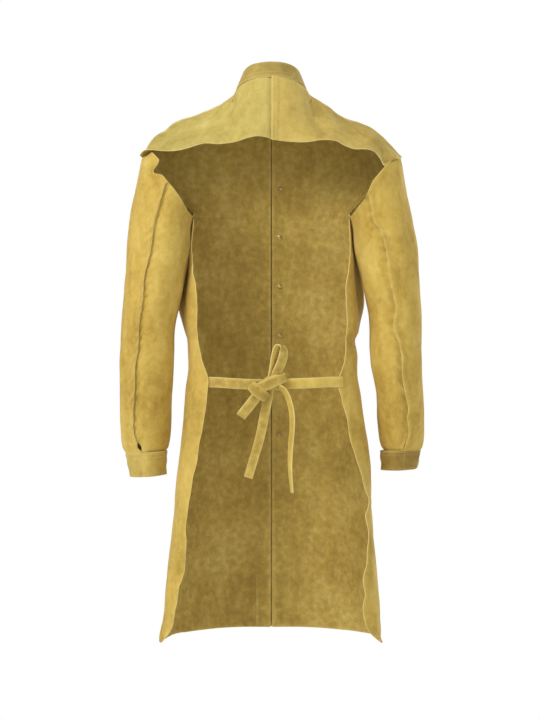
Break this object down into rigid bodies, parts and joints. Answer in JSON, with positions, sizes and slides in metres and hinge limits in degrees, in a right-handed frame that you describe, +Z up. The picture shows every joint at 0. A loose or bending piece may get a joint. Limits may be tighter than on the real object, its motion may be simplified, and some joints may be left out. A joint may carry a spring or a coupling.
{
  "type": "open-back welding coat",
  "caption": "Knee-length split-leather welding coat with an open back, set-in sleeves with cuffs, stand collar, snap front and a waist tie.",
  "frame": {"origin": "middle of the hanger loop at the back neck, on the face that a peg bears against", "axes": "+Z up along the coat, -Y towards the wearer's front, +X towards the wearer's left"},
  "size_m": [0.6114, 0.2649, 1.167],
  "materials": {
    "hide": "matte napped split leather",
    "pale_hide": "matte napped split leather",
    "lining_hide": "matte napped split leather",
    "brass": "dull antique brass",
    "pile": "hook and loop pile"
  },
  "bodies": {
    "coat": {"left_front_panel": "hide", "right_front_panel": "hide", "left_back_yoke": "pale_hide", "right_back_yoke": "pale_hide", "collar_outer": "pale_hide", "collar_lining": "lining_hide", "collar_snap_stud": "brass", "hanger_loop": "hide", "left_waist_tie": "hide", "right_waist_tie": "hide", "bow_knot": "hide", "bow_upper_loop": "hide", "bow_lower_loop": "hide", "left_tie_tail": "hide", "right_tie_tail": "hide", "front_snap_stud_1": "brass", "front_snap_stud_2": "brass", "front_snap_stud_3": "brass", "front_snap_stud_4": "brass", "front_snap_stud_5": "brass", "front_snap_stud_6": "brass"},
    "front_closure": {"front_flap": "hide", "front_snap_cap_1": "brass", "front_snap_cap_2": "brass", "front_snap_cap_3": "brass", "front_snap_cap_4": "brass", "front_snap_cap_5": "brass", "front_snap_cap_6": "brass"},
    "throat_closure": {"collar_tab": "pale_hide", "collar_snap_cap": "brass"},
    "left_arm": {"left_sleeve_outer": "hide", "left_sleeve_under": "hide", "left_cuff": "hide", "left_loop_patch": "pile"},
    "left_cuff_closure": {"left_cuff_tab": "hide", "left_hook_patch": "pile"},
    "right_arm": {"right_sleeve_outer": "hide", "right_sleeve_under": "hide", "right_cuff": "hide", "right_loop_patch": "pile"},
    "right_cuff_closure": {"right_cuff_tab": "hide", "right_hook_patch": "pile"}
  },
  "joints": [
    {"name": "left_sleeve_swing", "type": "hinge", "parent": "coat", "child": "left_arm", "pos_m": [0.2115, -0.066, -0.216], "axis": [-0.7632, 0, 0.6462], "range_deg": [-20, 70]},
    {"name": "right_sleeve_swing", "type": "hinge", "parent": "coat", "child": "right_arm", "pos_m": [-0.2115, -0.066, -0.216], "axis": [-0.7632, 0, -0.6462], "range_deg": [-20, 70]},
    {"name": "front_flap_open", "type": "hinge", "parent": "coat", "child": "front_closure", "pos_m": [0.031, -0.19488, -0.6], "axis": [0, 0.0259, 0.9997], "range_deg": [0, 130]},
    {"name": "collar_tab_open", "type": "hinge", "parent": "coat", "child": "throat_closure", "pos_m": [0.01494, -0.12637, -0.06141], "axis": [-0.0857, 0.3838, 0.9194], "range_deg": [0, 110]},
    {"name": "left_cuff_tab_open", "type": "hinge", "parent": "left_arm", "child": "left_cuff_closure", "pos_m": [0.26055, -0.05249, -0.777], "axis": [0, 0, -1], "range_deg": [0, 100]},
    {"name": "right_cuff_tab_open", "type": "hinge", "parent": "right_arm", "child": "right_cuff_closure", "pos_m": [-0.26055, -0.05249, -0.777], "axis": [0, 0, 1], "range_deg": [0, 100]}
  ]
}
